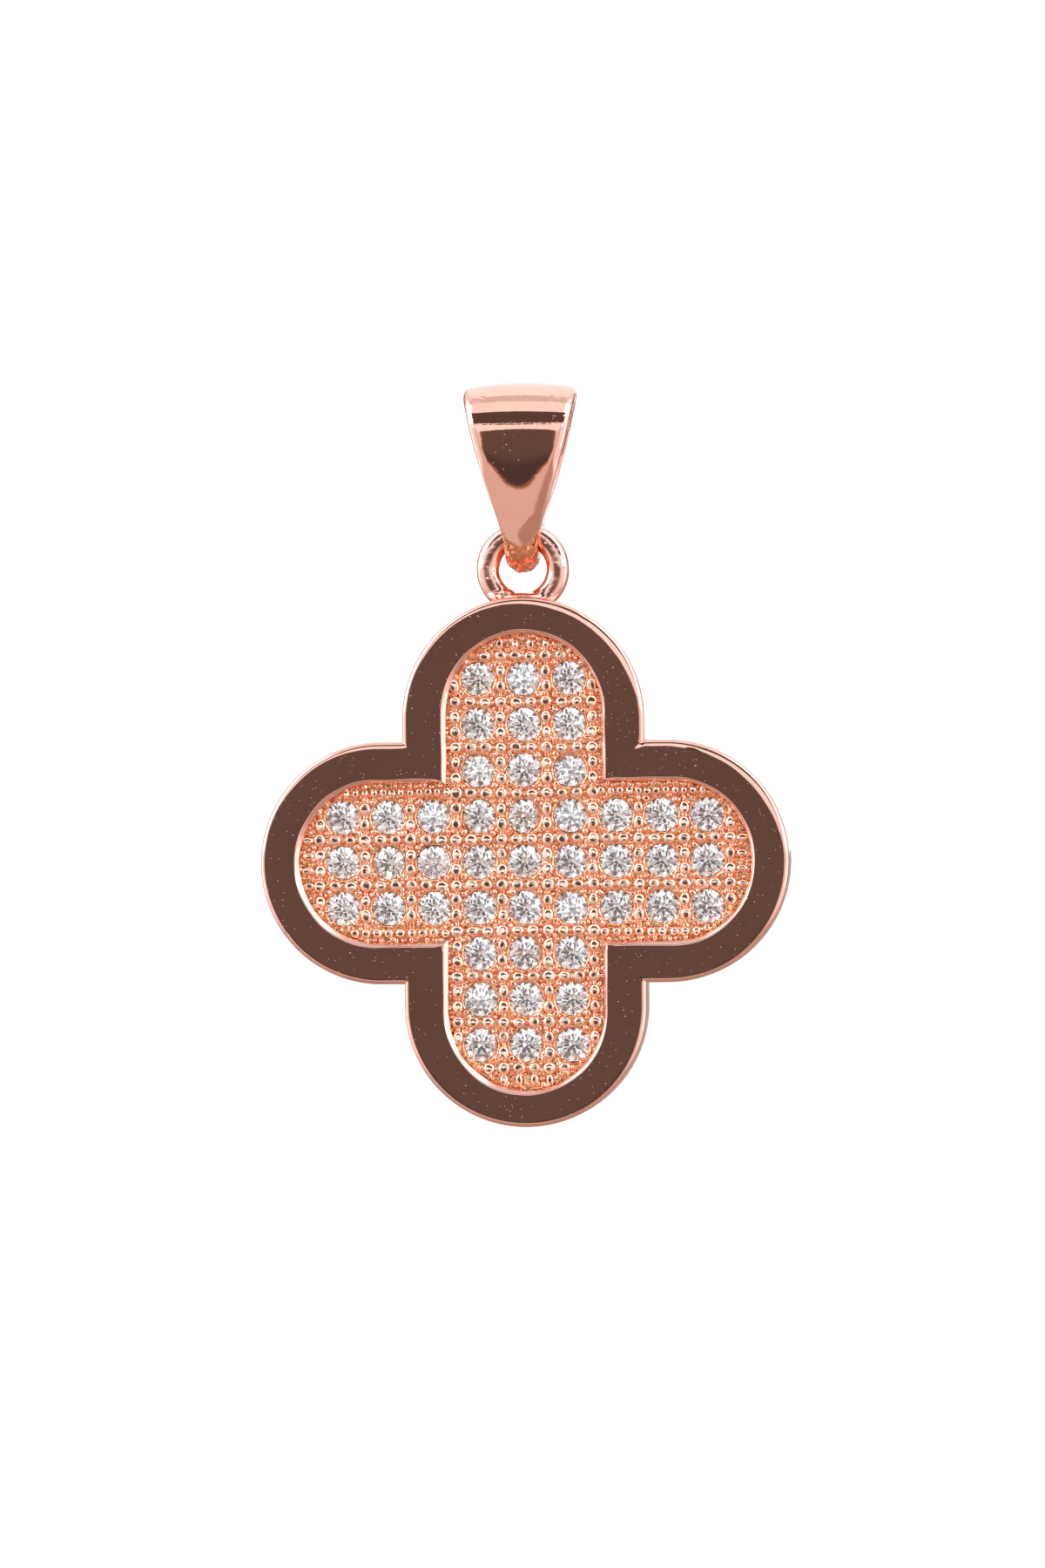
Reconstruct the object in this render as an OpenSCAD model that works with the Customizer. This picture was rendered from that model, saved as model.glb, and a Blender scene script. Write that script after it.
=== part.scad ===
// Four leaf clover pendant: a clover set with small stones, hanging by its ring from a tapered bail.
// All sizes are in millimetres. The origin is the centre of the bail's chain channel, +Z is up and
// the clover's face looks towards -Y.

/* [Clover] */
// Height and width of the clover, across opposite lobes
clover_size = 19; // [17.5:0.5:24]
// Radius of each round lobe
lobe_r = 4.35; // [4:0.05:5]
// Thickness of the clover at its rim
plate_t = 1.7; // [1.5:0.05:3]
// Radius of the rounded outer edge, front and back
edge_r = 0.22; // [0.1:0.01:0.4]
// Width of the rim along the straight sides of a lobe
rim_side_w = 1.31; // [0.9:0.01:1.5]
// Width of the rim at the round end of a lobe
rim_end_w = 1.13; // [0.8:0.01:1.5]
// Width of the bevel along the rim's inner edge
rim_bevel = 0.11; // [0.05:0.01:0.2]
// Depth of the sunk field below the rim
field_depth = 0.45; // [0.3:0.05:0.6]

/* [Stones] */
// Distance between neighbouring stones, along rows and columns
stone_pitch = 1.64; // [1.5:0.01:2]
// Diameter of each round stone
stone_d = 1.2; // [0.9:0.05:1.25]
// Width of the stone's flat table, as a share of its diameter
table_share = 0.57; // [0.5:0.01:0.65]
// Slope of the facets above the girdle, in degrees
crown_angle = 34.5; // [30:0.5:38]
// Slope of the facets below the girdle, in degrees
pavilion_angle = 40.8; // [38:0.2:43]
// Thickness of the stone's rim, its girdle
girdle_t = 0.03; // [0.02:0.01:0.06]
// Depth of the girdle's middle below the floor of the field
girdle_sink = 0.05; // [0.03:0.01:0.1]
// Gap between a stone and its drilled seat
seat_gap = 0.04; // [0.03:0.01:0.06]
// Diameter of the pilot hole under the stone's point
pilot_d = 0.3; // [0.2:0.05:0.5]

/* [Beads] */
// Diameter of the small cast beads between the stones
bead_d = 0.33; // [0.24:0.01:0.4]
// Height of a bead's middle above the floor of the field
bead_lift = 0.05; // [0:0.01:0.1]
// Number of bead steps along one side of a stone's square
bead_steps = 3; // [2:1:3]

/* [Ring] */
// Diameter of the soldered ring's wire
ring_wire_d = 0.84; // [0.7:0.02:0.9]
// Diameter of the ring's hole
ring_hole_d = 1.68; // [1.6:0.02:2]
// Height of the ring's hole above the clover's top edge
ring_stand = 0.17; // [0.1:0.01:0.3]

/* [Bail] */
// Height of the bail
bail_h = 6.88; // [6.4:0.02:9]
// Width of the bail at its top
bail_w = 4.08; // [3.4:0.02:5]
// Width of the bail where it passes through the ring
tongue_w = 1.2; // [0.9:0.02:1.3]
// Radius of the channel for the chain
channel_r = 1.28; // [1:0.02:1.5]
// Height of the channel's upright sides, below its round top
loop_straight = 1.2; // [0.8:0.05:1.5]
// Thickness of the bail's strip
strip_t = 0.52; // [0.4:0.02:0.7]
// Gap around the ring's wire in the round bottom of the bail's slot
slot_gap = 0.24; // [0.18:0.01:0.3]
// Thickness of the bail's soldered bottom
bottom_t = 0.78; // [0.7:0.02:0.9]
// Least gap between the swinging ring and the bail
ring_gap = 0.1; // [0.06:0.01:0.12]
// Radius of the bail's top corners, seen from the front
corner_r = 0.25; // [0.1:0.05:0.4]
// Width of the bevel on the bail's side edges, beside the channel
side_bevel = 0.2; // [0.1:0.05:0.3]

/* [Hidden] */
$fn = 64;
overshoot = 1;
// How far surfaces cross each other where they would otherwise only touch
crossing = 0.005;

wire_r = ring_wire_d / 2;
hole_r = ring_hole_d / 2;
ring_r = hole_r + wire_r;

// Bail, measured from the channel's centre
loop_r = channel_r + strip_t;
bail_top = loop_r;
bail_bottom = bail_top - bail_h;
slot_bottom = bail_bottom + bottom_t;
slot_r = wire_r + slot_gap;
bottom_r = slot_r + strip_t;
// Half widths of the bail: share of its height from the bottom, share of the way to its full width
BAIL_TAPER = [[0.13, 0], [0.26, 0.12], [0.39, 0.32], [0.53, 0.53], [0.80, 0.87], [0.94, 1]];

// Ring: its wire passes through the middle of the slot's round bottom, and the clover swings there
pivot_z = slot_bottom + slot_r;
ring_z = pivot_z - ring_r;
// Distance from the pivot to the inside of the ring, beside the tongue's edge
tongue_edge_r = ring_r - sqrt((hole_r - ring_gap) ^ 2 - (tongue_w / 2) ^ 2);
relief_r = tongue_edge_r - tongue_w / 2;

// Clover, below the ring
clover_top = ring_z - hole_r - ring_stand;
clover_z = clover_top - clover_size / 2;
lobe_reach = clover_size / 2 - lobe_r;
rim_z = plate_t / 2;
field_z = rim_z - field_depth;
field_edge_r = lobe_r - rim_side_w;
field_r = field_edge_r - rim_bevel;
field_reach = clover_size / 2 - rim_end_w - field_edge_r;

// Stones and their seats
stone_r = stone_d / 2;
table_r = stone_r * table_share;
crown_h = (stone_r - table_r) * tan(crown_angle);
pavilion_h = stone_r * tan(pavilion_angle);
seat_r = stone_r + seat_gap;
seat_shelf = girdle_sink + girdle_t / 2 + seat_gap / 2;
pilot_r = pilot_d / 2;
pilot_depth = girdle_sink + girdle_t / 2 + pavilion_h + seat_gap * 2;
// How near the point the lower girdle facets reach, as a share of the stone's radius
main_share = 0.22;
// Metal left between a seat and the rim, and round a bead
seat_margin = 0.1;
bead_r = bead_d / 2;
bead_margin = 0.02;

// True when a disc of radius CLEAR at A across and B along lies inside one arm of the field
function in_arm(a, b, clear) = norm([a, max(abs(b) - field_reach, 0)]) <= field_r - clear;
function in_field(x, y, clear) = in_arm(x, y, clear) || in_arm(y, x, clear);

grid_n = ceil(clover_size / 2 / stone_pitch);
STONE_SITES = [
    for (i = [-grid_n:grid_n], j = [-grid_n:grid_n])
        let (x = i * stone_pitch, y = j * stone_pitch)
        if (in_field(x, y, seat_r + seat_margin)) [x, y]
];

// Beads stand on the lines between the stones' squares, and fill the ends where no square fits
function on_line(i) = i % bead_steps == 0;
function near_stone(x, y) = in_field(
    round(x / stone_pitch) * stone_pitch, round(y / stone_pitch) * stone_pitch, seat_r + seat_margin
);
function clears_stones(p) =
    len([for (s = STONE_SITES) if (norm(s - p) < seat_r + bead_r + bead_margin) s]) == 0;
bead_n = (grid_n + 1) * bead_steps;
BEAD_SITES = [
    for (i = [-bead_n:bead_n], j = [-bead_n:bead_n])
        let (x = (i / bead_steps + 0.5) * stone_pitch, y = (j / bead_steps + 0.5) * stone_pitch)
        if (on_line(i) || on_line(j) || !near_stone(x, y))
            if (in_field(x, y, bead_r + bead_margin) && clears_stones([x, y])) [x, y]
];

// Half of the rim's rounded section: across by X, thickness by Y
module rim_section() {
    flat_r = lobe_r - edge_r;
    round_z = rim_z - edge_r;
    translate([0, -rim_z]) square([flat_r, plate_t]);
    translate([0, -round_z]) square([lobe_r, 2 * round_z]);
    for (side = [-1, 1]) translate([flat_r, side * round_z]) circle(edge_r);
}

// Half of the section that cuts the sunk field
module field_section() {
    polygon([
        [0, field_z], [field_r, field_z], [field_r, rim_z - rim_bevel], [field_edge_r, rim_z],
        [field_edge_r, rim_z + overshoot], [0, rim_z + overshoot]
    ]);
}

// A straight bar with round ends: its half section runs along Y and turns about the end centres
module arm(reach) {
    rotate([90, 0, 0]) linear_extrude(2 * reach, center = true) {
        children();
        mirror([1, 0]) children();
    }
    for (turn = [0, 180]) rotate([0, 0, turn])
        translate([0, reach, 0]) rotate_extrude(angle = 180) children();
}

module quatrefoil(reach) {
    for (turn = [0, 90]) rotate([0, 0, turn]) arm(reach) children();
}

module seat() {
    tip_z = -seat_shelf - (seat_r - pilot_r) * tan(pavilion_angle);
    rotate_extrude() polygon([
        [0, overshoot], [seat_r, overshoot], [seat_r, -seat_shelf], [pilot_r, tip_z],
        [pilot_r, -pilot_depth], [0, -pilot_depth]
    ]);
}

module ring(section_r) {
    rotate_extrude() translate([ring_r, 0]) circle(section_r);
}

// Stands what is drawn flat, facing +Z, upright at height Z so that it faces -Y
module facing_front(z) {
    translate([0, 0, z]) rotate([90, 0, 0]) children();
}

module clover() {
    color("#dd9a84") {
        facing_front(clover_z) {
            difference() {
                quatrefoil(lobe_reach) rim_section();
                quatrefoil(field_reach) field_section();
                for (p = STONE_SITES) translate([p.x, p.y, field_z]) seat();
            }
            for (p = BEAD_SITES) translate([p.x, p.y, field_z + bead_lift]) sphere(bead_r, $fn = 16);
        }
        facing_front(ring_z) ring(wire_r);
    }
}

// Points of one round of the stone: COUNT corners on radius R at height Z, the first at angle START
function round_of(count, r, z, start) =
    [for (k = [0:count - 1]) let (a = start + k * 360 / count) [r * cos(a), r * sin(a), z]];

// A round brilliant with its girdle's middle at the origin: a table, eight stars, eight kites and
// sixteen girdle facets above, sixteen girdle facets and eight mains below
module brilliant() {
    sides = 8;
    half_step = 180 / sides;
    crown_z = girdle_t / 2;
    star_r = (table_r * cos(half_step) + stone_r) / 2;
    star_z = crown_z + crown_h * (stone_r - star_r * cos(half_step)) / (stone_r - table_r);
    main_r = stone_r * main_share;
    main_z = -crown_z - pavilion_h * (1 - main_r * cos(half_step) / stone_r);
    points = concat(
        round_of(sides, table_r, crown_z + crown_h, 0),
        round_of(sides, star_r, star_z, half_step),
        round_of(2 * sides, stone_r, crown_z, 0),
        round_of(2 * sides, stone_r, -crown_z, 0),
        round_of(sides, main_r, main_z, half_step),
        [[0, 0, -crown_z - pavilion_h]]
    );
    stars = sides;
    upper = 2 * sides;
    lower = upper + 2 * sides;
    mains = lower + 2 * sides;
    point = mains + sides;
    faces = concat(
        [[for (k = [sides - 1:-1:0]) k]],
        [for (k = [0:sides - 1]) let (n = (k + 1) % sides) [k, n, stars + k]],
        [for (k = [0:sides - 1]) [k, stars + k, upper + 2 * k]],
        [for (k = [0:sides - 1]) let (b = (k + sides - 1) % sides) [k, upper + 2 * k, stars + b]],
        [for (k = [0:sides - 1]) [stars + k, upper + 2 * k + 1, upper + 2 * k]],
        [for (k = [0:sides - 1]) [stars + k, upper + (2 * k + 2) % (2 * sides), upper + 2 * k + 1]],
        [for (k = [0:2 * sides - 1]) let (n = (k + 1) % (2 * sides))
            [upper + k, upper + n, lower + n, lower + k]],
        [for (k = [0:sides - 1]) [mains + k, lower + 2 * k, lower + 2 * k + 1]],
        [for (k = [0:sides - 1]) [mains + k, lower + 2 * k + 1, lower + (2 * k + 2) % (2 * sides)]],
        [for (k = [0:sides - 1]) [point, lower + 2 * k, mains + k]],
        [for (k = [0:sides - 1]) let (b = (k + sides - 1) % sides) [point, mains + b, lower + 2 * k]]
    );
    polyhedron(points, faces);
}

module stones() {
    color("#eef1f4") facing_front(clover_z)
        for (p = STONE_SITES) translate([p.x, p.y, field_z - girdle_sink]) brilliant();
}

function bail_half_w(z) = tongue_w / 2
    + lookup((z - bail_bottom) / bail_h, BAIL_TAPER) * (bail_w - tongue_w) / 2;

// Side view of a long drop: a round top at the origin, upright sides, then sides that lean in to a
// smaller circle at height LOW_Y
module drop(top_r, low_r, low_y) {
    lean = asin((top_r - low_r) / (-loop_straight - low_y));
    bend = (top_r - crossing) * [cos(lean), -sin(lean)] - [0, loop_straight];
    foot = (low_r - crossing) * [cos(lean), -sin(lean)] + [0, low_y];
    circle(top_r);
    translate([-top_r, -loop_straight]) square([2 * top_r, loop_straight]);
    translate([0, -loop_straight]) circle(top_r);
    polygon([bend, [-bend.x, bend.y], [-foot.x, foot.y], foot]);
    translate([0, low_y]) circle(low_r);
}

// Side view of the bail's loop
module bail_side() {
    difference() {
        drop(loop_r, bottom_r, bail_bottom + bottom_r);
        drop(channel_r, slot_r, slot_bottom + slot_r);
    }
}

// Front view of the bail: it passes the loop's top and bottom a little, which then end it
module bail_front() {
    spare = 5 * crossing;
    shoulder_w = bail_w / 2 - corner_r;
    shoulder_z = bail_top - corner_r + spare;
    tip_z = bail_bottom + tongue_w / 2 - spare;
    side = concat(
        [[tongue_w / 2, tip_z]],
        [for (row = BAIL_TAPER) let (z = bail_bottom + row[0] * bail_h) [bail_half_w(z), z]],
        [[bail_w / 2, shoulder_z], [shoulder_w, shoulder_z + corner_r]]
    );
    polygon(concat(side, [for (k = [len(side) - 1:-1:0]) [-side[k].x, side[k].y]]));
    translate([0, tip_z]) circle(tongue_w / 2);
    for (s = [-1, 1]) translate([s * shoulder_w, shoulder_z]) circle(corner_r);
}

// Plan of the bail with its four corners bevelled
module bail_plan() {
    depth = loop_r + overshoot;
    reach = bail_half_w(0) + loop_r - side_bevel;
    polygon([
        for (s = [[1, 1], [-1, 1], [-1, -1], [1, -1]]) each let (
            on_side = [s.x * depth, s.y * (reach - depth)],
            on_front = [s.x * (reach - depth), s.y * depth]
        ) s.x * s.y > 0 ? [on_side, on_front] : [on_front, on_side]
    ]);
}

// Two cones, point to point on the line that the ring swings about: they ease the tongue's edges
module ring_relief() {
    translate([0, 0, pivot_z]) rotate([0, 90, 0]) rotate_extrude() polygon([
        [0, -bail_w], [relief_r + bail_w, -bail_w], [relief_r, 0], [relief_r + bail_w, bail_w], [0, bail_w]
    ]);
}

module bail() {
    color("#e3a592") difference() {
        intersection() {
            rotate([90, 0, 90]) linear_extrude(bail_w + overshoot, center = true) bail_side();
            facing_front(0) linear_extrude(2 * (loop_r + overshoot), center = true) bail_front();
            linear_extrude(2 * bail_h, center = true) bail_plan();
        }
        ring_relief();
    }
}

bail();
clover();
stones();
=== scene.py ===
"""Four leaf clover pendant in rose gold plate: the finish of every surface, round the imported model.

Lengths are in millimetres until a mesh is made. The clover is drawn flat round its own centre, with
X to the right, Y up and Z towards the viewer, and is then stood upright so that it faces -Y.
"""
import math
import random

import bmesh
import bpy
from mathutils import Matrix, Quaternion, Vector, noise
from mathutils.geometry import delaunay_2d_cdt


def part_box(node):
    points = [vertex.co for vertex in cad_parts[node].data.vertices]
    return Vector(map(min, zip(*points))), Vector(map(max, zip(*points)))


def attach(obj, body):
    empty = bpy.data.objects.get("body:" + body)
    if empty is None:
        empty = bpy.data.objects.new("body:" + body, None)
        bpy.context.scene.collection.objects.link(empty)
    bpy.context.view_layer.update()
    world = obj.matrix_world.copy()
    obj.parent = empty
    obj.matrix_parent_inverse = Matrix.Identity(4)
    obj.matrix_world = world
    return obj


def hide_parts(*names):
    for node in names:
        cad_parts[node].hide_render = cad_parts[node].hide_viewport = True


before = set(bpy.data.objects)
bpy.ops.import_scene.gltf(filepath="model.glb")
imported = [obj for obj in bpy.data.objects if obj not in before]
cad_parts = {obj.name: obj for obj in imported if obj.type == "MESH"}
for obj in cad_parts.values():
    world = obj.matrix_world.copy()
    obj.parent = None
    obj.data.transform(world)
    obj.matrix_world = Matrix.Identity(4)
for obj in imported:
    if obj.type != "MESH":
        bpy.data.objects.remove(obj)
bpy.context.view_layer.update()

MM = 0.001


def box_mm(node):
    low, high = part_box(node)
    return low / MM, high / MM


bail_low, bail_high = box_mm("bail")
clover_low, clover_high = box_mm("clover")

# Ring and clover, as the model has them
RING_WIRE_R = 0.42
RING_R = 1.26
LOBE_R = 4.35
EDGE_R = 0.22
RIM_SIDE_W = 1.31
RIM_END_W = 1.13
BEVEL_W = 0.11
FIELD_DEPTH = 0.45
clover_size = clover_high.x - clover_low.x
plate_t = clover_high.y - clover_low.y
clover_z = clover_low.z + clover_size / 2
ring_z = clover_high.z - RING_R - RING_WIRE_R
rim_h = plate_t / 2
field_h = rim_h - FIELD_DEPTH
lobe_reach = clover_size / 2 - LOBE_R
field_edge_r = LOBE_R - RIM_SIDE_W
field_reach = clover_size / 2 - RIM_END_W - field_edge_r
field_r = field_edge_r - BEVEL_W

# Stones, beads and their grid
PITCH = 1.64
STONE_R = 0.6
SEAT_R = 0.64
SEAT_MARGIN = 0.1
TABLE_SHARE = 0.59
CROWN_ANGLE = math.radians(34.5)
PAVILION_ANGLE = math.radians(40.8)
MAIN_SHARE = 0.30
GIRDLE_T = 0.03
GIRDLE_SINK = 0.05
PILOT_R = 0.15
PILOT_DEPTH = 0.66
BEAD_STEPS = 3

# Bail, as the model has it
STRIP_T = 0.52
TONGUE_R = 0.6
BOTTOM_T = 0.78
SLOT_R = 0.66
loop_r = (bail_high.y - bail_low.y) / 2
channel_r = loop_r - STRIP_T
bottom_r = SLOT_R + STRIP_T
bail_h = bail_high.z - bail_low.z
bail_half_w = (bail_high.x - bail_low.x) / 2
# Share of the bail's height from the bottom, and share of the way from the tongue to its full width
BAIL_TAPER = [(0.13, 0), (0.26, 0.12), (0.39, 0.32), (0.53, 0.53), (0.66, 0.71), (0.80, 0.87), (0.94, 1)]


def smoothstep(low, high, value):
    t = min(max((value - low) / (high - low), 0), 1)
    return t * t * (3 - 2 * t)


def blend(a, b, t):
    return a + (b - a) * t


def ripple(x, y, wavelength, seed):
    """Smooth noise from -1 to 1 that belongs to a place, so that neighbouring meshes agree on it."""
    return noise.noise(Vector((x / wavelength, y / wavelength, seed)))


class Shape:
    """Points and faces in millimetres, gathered before they become one object."""

    def __init__(self):
        self.points = []
        self.faces = []
        self.finishes = []

    def add(self, points, faces, finish=0):
        start = len(self.points)
        self.points += [Vector(p) for p in points]
        self.faces += [[start + k for k in face] for face in faces]
        self.finishes += [finish] * len(faces)

    def add_rings(self, rings, finish=0, closed=True, caps=(False, False)):
        """Skins neighbouring rings of equally many points, and closes the first or last with a face."""
        count = len(rings[0])
        faces = []
        for level in range(len(rings) - 1):
            base = level * count
            for k in range(count if closed else count - 1):
                n = (k + 1) % count
                faces.append([base + k, base + n, base + count + n, base + count + k])
        if caps[0]:
            faces.append(list(range(count - 1, -1, -1)))
        if caps[1]:
            faces.append([(len(rings) - 1) * count + k for k in range(count)])
        self.add([p for ring in rings for p in ring], faces, finish)

    def stand_up(self):
        """Turns what was drawn flat upright, at the clover's place."""
        self.points = [Vector((p.x, -p.z, p.y + clover_z)) for p in self.points]


def make_object(name, shape, materials, crease=30, merge=0.0005):
    """One object in metres, smooth but for edges that fold more than CREASE degrees."""
    mesh = bpy.data.meshes.new(name)
    mesh.from_pydata([p * MM for p in shape.points], [], shape.faces)
    mesh.polygons.foreach_set("material_index", shape.finishes)
    for material in materials:
        mesh.materials.append(material)
    work = bmesh.new()
    work.from_mesh(mesh)
    if merge:
        bmesh.ops.remove_doubles(work, verts=work.verts, dist=merge * MM)
    bmesh.ops.recalc_face_normals(work, faces=work.faces)
    work.to_mesh(mesh)
    work.free()
    mesh.polygons.foreach_set("use_smooth", [True] * len(mesh.polygons))
    mesh.set_sharp_from_angle(angle=math.radians(crease))
    piece = bpy.data.objects.new(name, mesh)
    bpy.context.scene.collection.objects.link(piece)
    return piece


# Materials
class Nodes:
    """Shorthand for the nodes of one material or world."""

    def __init__(self, owner):
        owner.use_nodes = True
        self.tree = owner.node_tree
        self.tree.nodes.clear()

    def add(self, kind, inputs=None, **settings):
        node = self.tree.nodes.new(kind)
        for key, value in settings.items():
            setattr(node, key, value)
        for key, value in (inputs or {}).items():
            self.set(node.inputs[key], value)
        return node

    def set(self, socket, value):
        if isinstance(value, bpy.types.NodeSocket):
            self.tree.links.new(value, socket)
        else:
            socket.default_value = value

    def math(self, operation, *values, clamp=False):
        node = self.add("ShaderNodeMath", operation=operation, use_clamp=clamp)
        for k, value in enumerate(values):
            self.set(node.inputs[k], value)
        return node.outputs[0]

    def times(self, *values):
        product = values[0]
        for value in values[1:]:
            product = self.math("MULTIPLY", product, value)
        return product

    def step(self, low, high, value):
        """0 below LOW and 1 above HIGH, smooth between; falling where LOW is the higher."""
        node = self.add("ShaderNodeMapRange", interpolation_type="SMOOTHSTEP")
        values = (value, min(low, high), max(low, high), float(low > high), float(low <= high))
        for k, v in enumerate(values):
            self.set(node.inputs[k], v)
        return node.outputs[0]

    def between(self, value, rise, fall):
        """1 between two soft edges, each of them given by where it starts and where it ends."""
        return self.times(self.step(*rise, value), self.step(*fall, value))

    def mix(self, factor, a, b):
        node = self.add("ShaderNodeMix", data_type="RGBA")
        self.set(node.inputs[0], factor)
        for k, colour in ((6, a), (7, b)):
            self.set(node.inputs[k], colour if isinstance(colour, bpy.types.NodeSocket) else (*colour, 1))
        return node.outputs[2]

    def noise(self, size, detail=2.0, where=None):
        """Noise from 0 to 1 whose patches are about SIZE millimetres across."""
        node = self.add("ShaderNodeTexNoise", {"Scale": 1 / (size * MM), "Detail": detail})
        self.set(node.inputs["Vector"], where or self.place())
        return node.outputs["Fac"]

    def place(self):
        return self.add("ShaderNodeTexCoord").outputs["Object"]

    def specks(self, spacing, radius, share):
        """Dots of about RADIUS millimetres, one in each cell of SPACING, of which only a SHARE show."""
        cells = self.add("ShaderNodeTexVoronoi", {"Scale": 1 / (spacing * MM), "Vector": self.place()})
        dot = self.step(radius / spacing, 0.3 * radius / spacing, cells.outputs["Distance"])
        pick = self.add("ShaderNodeSeparateColor", {"Color": cells.outputs["Color"]}).outputs[0]
        return self.times(dot, self.math("LESS_THAN", pick, share))

    def bumps(self, layers):
        """Chains bump maps: each layer is a height from 0 to 1 and the millimetres that it stands for."""
        normal = None
        for height, depth in layers:
            node = self.add("ShaderNodeBump", {"Height": height, "Distance": depth * MM, "Strength": 1.0})
            if normal:
                self.set(node.inputs["Normal"], normal)
            normal = node.outputs[0]
        return normal

    def finish(self, shader):
        self.add("ShaderNodeOutputMaterial", {"Surface": shader.outputs[0]})


ROSE = (0.89, 0.50, 0.40)
DEEP_ROSE = (0.84, 0.43, 0.32)
BURNT_ROSE = (0.70, 0.24, 0.11)
# Painted reflection of the metal on itself and painted shade: a deeper orange at the foot of the field's relief,
# and the share of it that is laid on
PAINTED_BOUNCE_ROSE = (0.95, 0.44, 0.22)
PAINTED_BOUNCE_SHARE = 0.8
# Heights above the field's floor between which that painted reflection and shade fade
PAINTED_BOUNCE_LOW, PAINTED_BOUNCE_HIGH = 0.03, 0.17


def gold(name, light, dark, patch, roughness, uneven, layers, deep=None):
    """Plated metal: two tones of rose gold in patches of PATCH millimetres, and uneven roughness.
    DEEP is the colour at the foot of the field's relief: painted reflection of the metal on itself and painted
    shade, standing in for the light that the metal mirrors back and forth there."""
    material = bpy.data.materials.new(name)
    nodes = Nodes(material)
    colour = nodes.mix(nodes.noise(patch, 4), light, dark)
    # Painted reflection and shade: the colour turns deeper orange low in the field's relief
    if deep:
        _, y, _ = nodes.add("ShaderNodeSeparateXYZ", {"Vector": nodes.place()}).outputs
        low = nodes.step(-(field_h + PAINTED_BOUNCE_HIGH) * MM, -(field_h + PAINTED_BOUNCE_LOW) * MM, y)
        colour = nodes.mix(nodes.times(low, PAINTED_BOUNCE_SHARE), colour, deep)
    rough = nodes.math("MULTIPLY_ADD", nodes.noise(0.6, 4), uneven, roughness - uneven / 2)
    shader = nodes.add("ShaderNodeBsdfPrincipled", {
        "Base Color": colour, "Metallic": 1.0, "Roughness": rough, "Normal": nodes.bumps(layers(nodes))})
    nodes.finish(shader)
    return material


def polished_layers(nodes):
    return [
        (nodes.noise(2.4, 1), 0.006),
        (nodes.noise(0.5, 3), 0.0009),
        (nodes.specks(0.34, 0.019, 0.8), 0.006),
        (nodes.specks(0.15, 0.012, 0.9), 0.006),
    ]


def bail_layers(nodes):
    """Polished, with file marks left near the upper ends and where the bend meets the flat front."""
    x, _, z = nodes.add("ShaderNodeSeparateXYZ", {"Vector": nodes.place()}).outputs
    aside = nodes.step(0.8 * MM, 1.3 * MM, nodes.math("ABSOLUTE", x))
    ends = nodes.times(aside, nodes.between(z, (0.75 * MM, 1.0 * MM), (1.5 * MM, 1.3 * MM)))
    foot = nodes.between(z, (0.18 * MM, 0.26 * MM), (0.56 * MM, 0.42 * MM))
    return [
        (nodes.noise(2.4, 1), 0.006),
        (nodes.noise(0.7, 3), 0.0028),
        (nodes.times(nodes.noise(0.16, 2), ends), 0.020),
        (nodes.times(nodes.noise(0.16, 2), foot), 0.012),
        (nodes.specks(0.42, 0.032, 0.8), 0.010),
        (nodes.specks(0.2, 0.018, 0.8), 0.007),
    ]


def wire_layers(nodes):
    return [
        (nodes.noise(1.0, 1), 0.050),
        (nodes.noise(0.35, 2), 0.012),
        (nodes.specks(0.21, 0.045, 0.45), 0.02),
    ]


def bead_layers(nodes):
    return [
        (nodes.noise(0.2, 2), 0.010),
        (nodes.noise(0.07, 2), 0.002),
    ]


def cast_layers(nodes):
    return [
        (nodes.noise(0.25, 1), 0.085),
        (nodes.noise(0.11, 1), 0.008),
    ]


def solder_layers(nodes):
    return [
        (nodes.noise(0.42, 1), 0.13),
        (nodes.noise(0.16, 1), 0.014),
    ]


def stone_material():
    """Colourless cubic zirconia: single facets carry a little painted colour and painted shade, standing in for the
    fire as the stone splits the light.
    """
    material = bpy.data.materials.new("clear_stone")
    nodes = Nodes(material)
    # Painted fire and shade of each facet, laid on in set_stones
    tint = nodes.add("ShaderNodeAttribute", attribute_name="painted_fire_tint").outputs["Color"]
    colour = nodes.mix(nodes.noise(0.4, 1), (1.0, 0.965, 0.93), (1.0, 1.0, 0.98))
    mixed = nodes.add("ShaderNodeMix", data_type="RGBA", blend_type="MULTIPLY")
    nodes.set(mixed.inputs[0], 1.0)
    nodes.set(mixed.inputs[6], colour)
    nodes.set(mixed.inputs[7], tint)
    shader = nodes.add("ShaderNodeBsdfPrincipled", {
        "Base Color": mixed.outputs[2], "Roughness": 0.035, "IOR": 2.17, "Transmission Weight": 0.94})
    nodes.finish(shader)
    return material


polished = gold("polished_rose", (1.0, 0.58, 0.47), (0.75, 0.38, 0.28), 4.0, 0.045, 0.04, polished_layers)
bail_gold = gold("bail_rose", ROSE, DEEP_ROSE, 0.9, 0.045, 0.04, bail_layers)
wire_gold = gold("wire_rose", (0.93, 0.54, 0.43), DEEP_ROSE, 0.7, 0.15, 0.06, wire_layers)
bead_gold = gold("bead_rose", (1.0, 0.68, 0.52), (0.98, 0.60, 0.44), 0.5, 0.05, 0.04, bead_layers, PAINTED_BOUNCE_ROSE)
cast_gold = gold("cast_rose", (1.0, 0.66, 0.48), (0.98, 0.56, 0.38), 0.4, 0.19, 0.10, cast_layers, PAINTED_BOUNCE_ROSE)
solder_gold = gold("solder_rose", (1.0, 0.42, 0.22), BURNT_ROSE, 0.3, 0.11, 0.06, solder_layers)
clear_stone = stone_material()


# The clover's outline
ARC_STEPS = 96
SIDE_STEPS = 12


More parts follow.
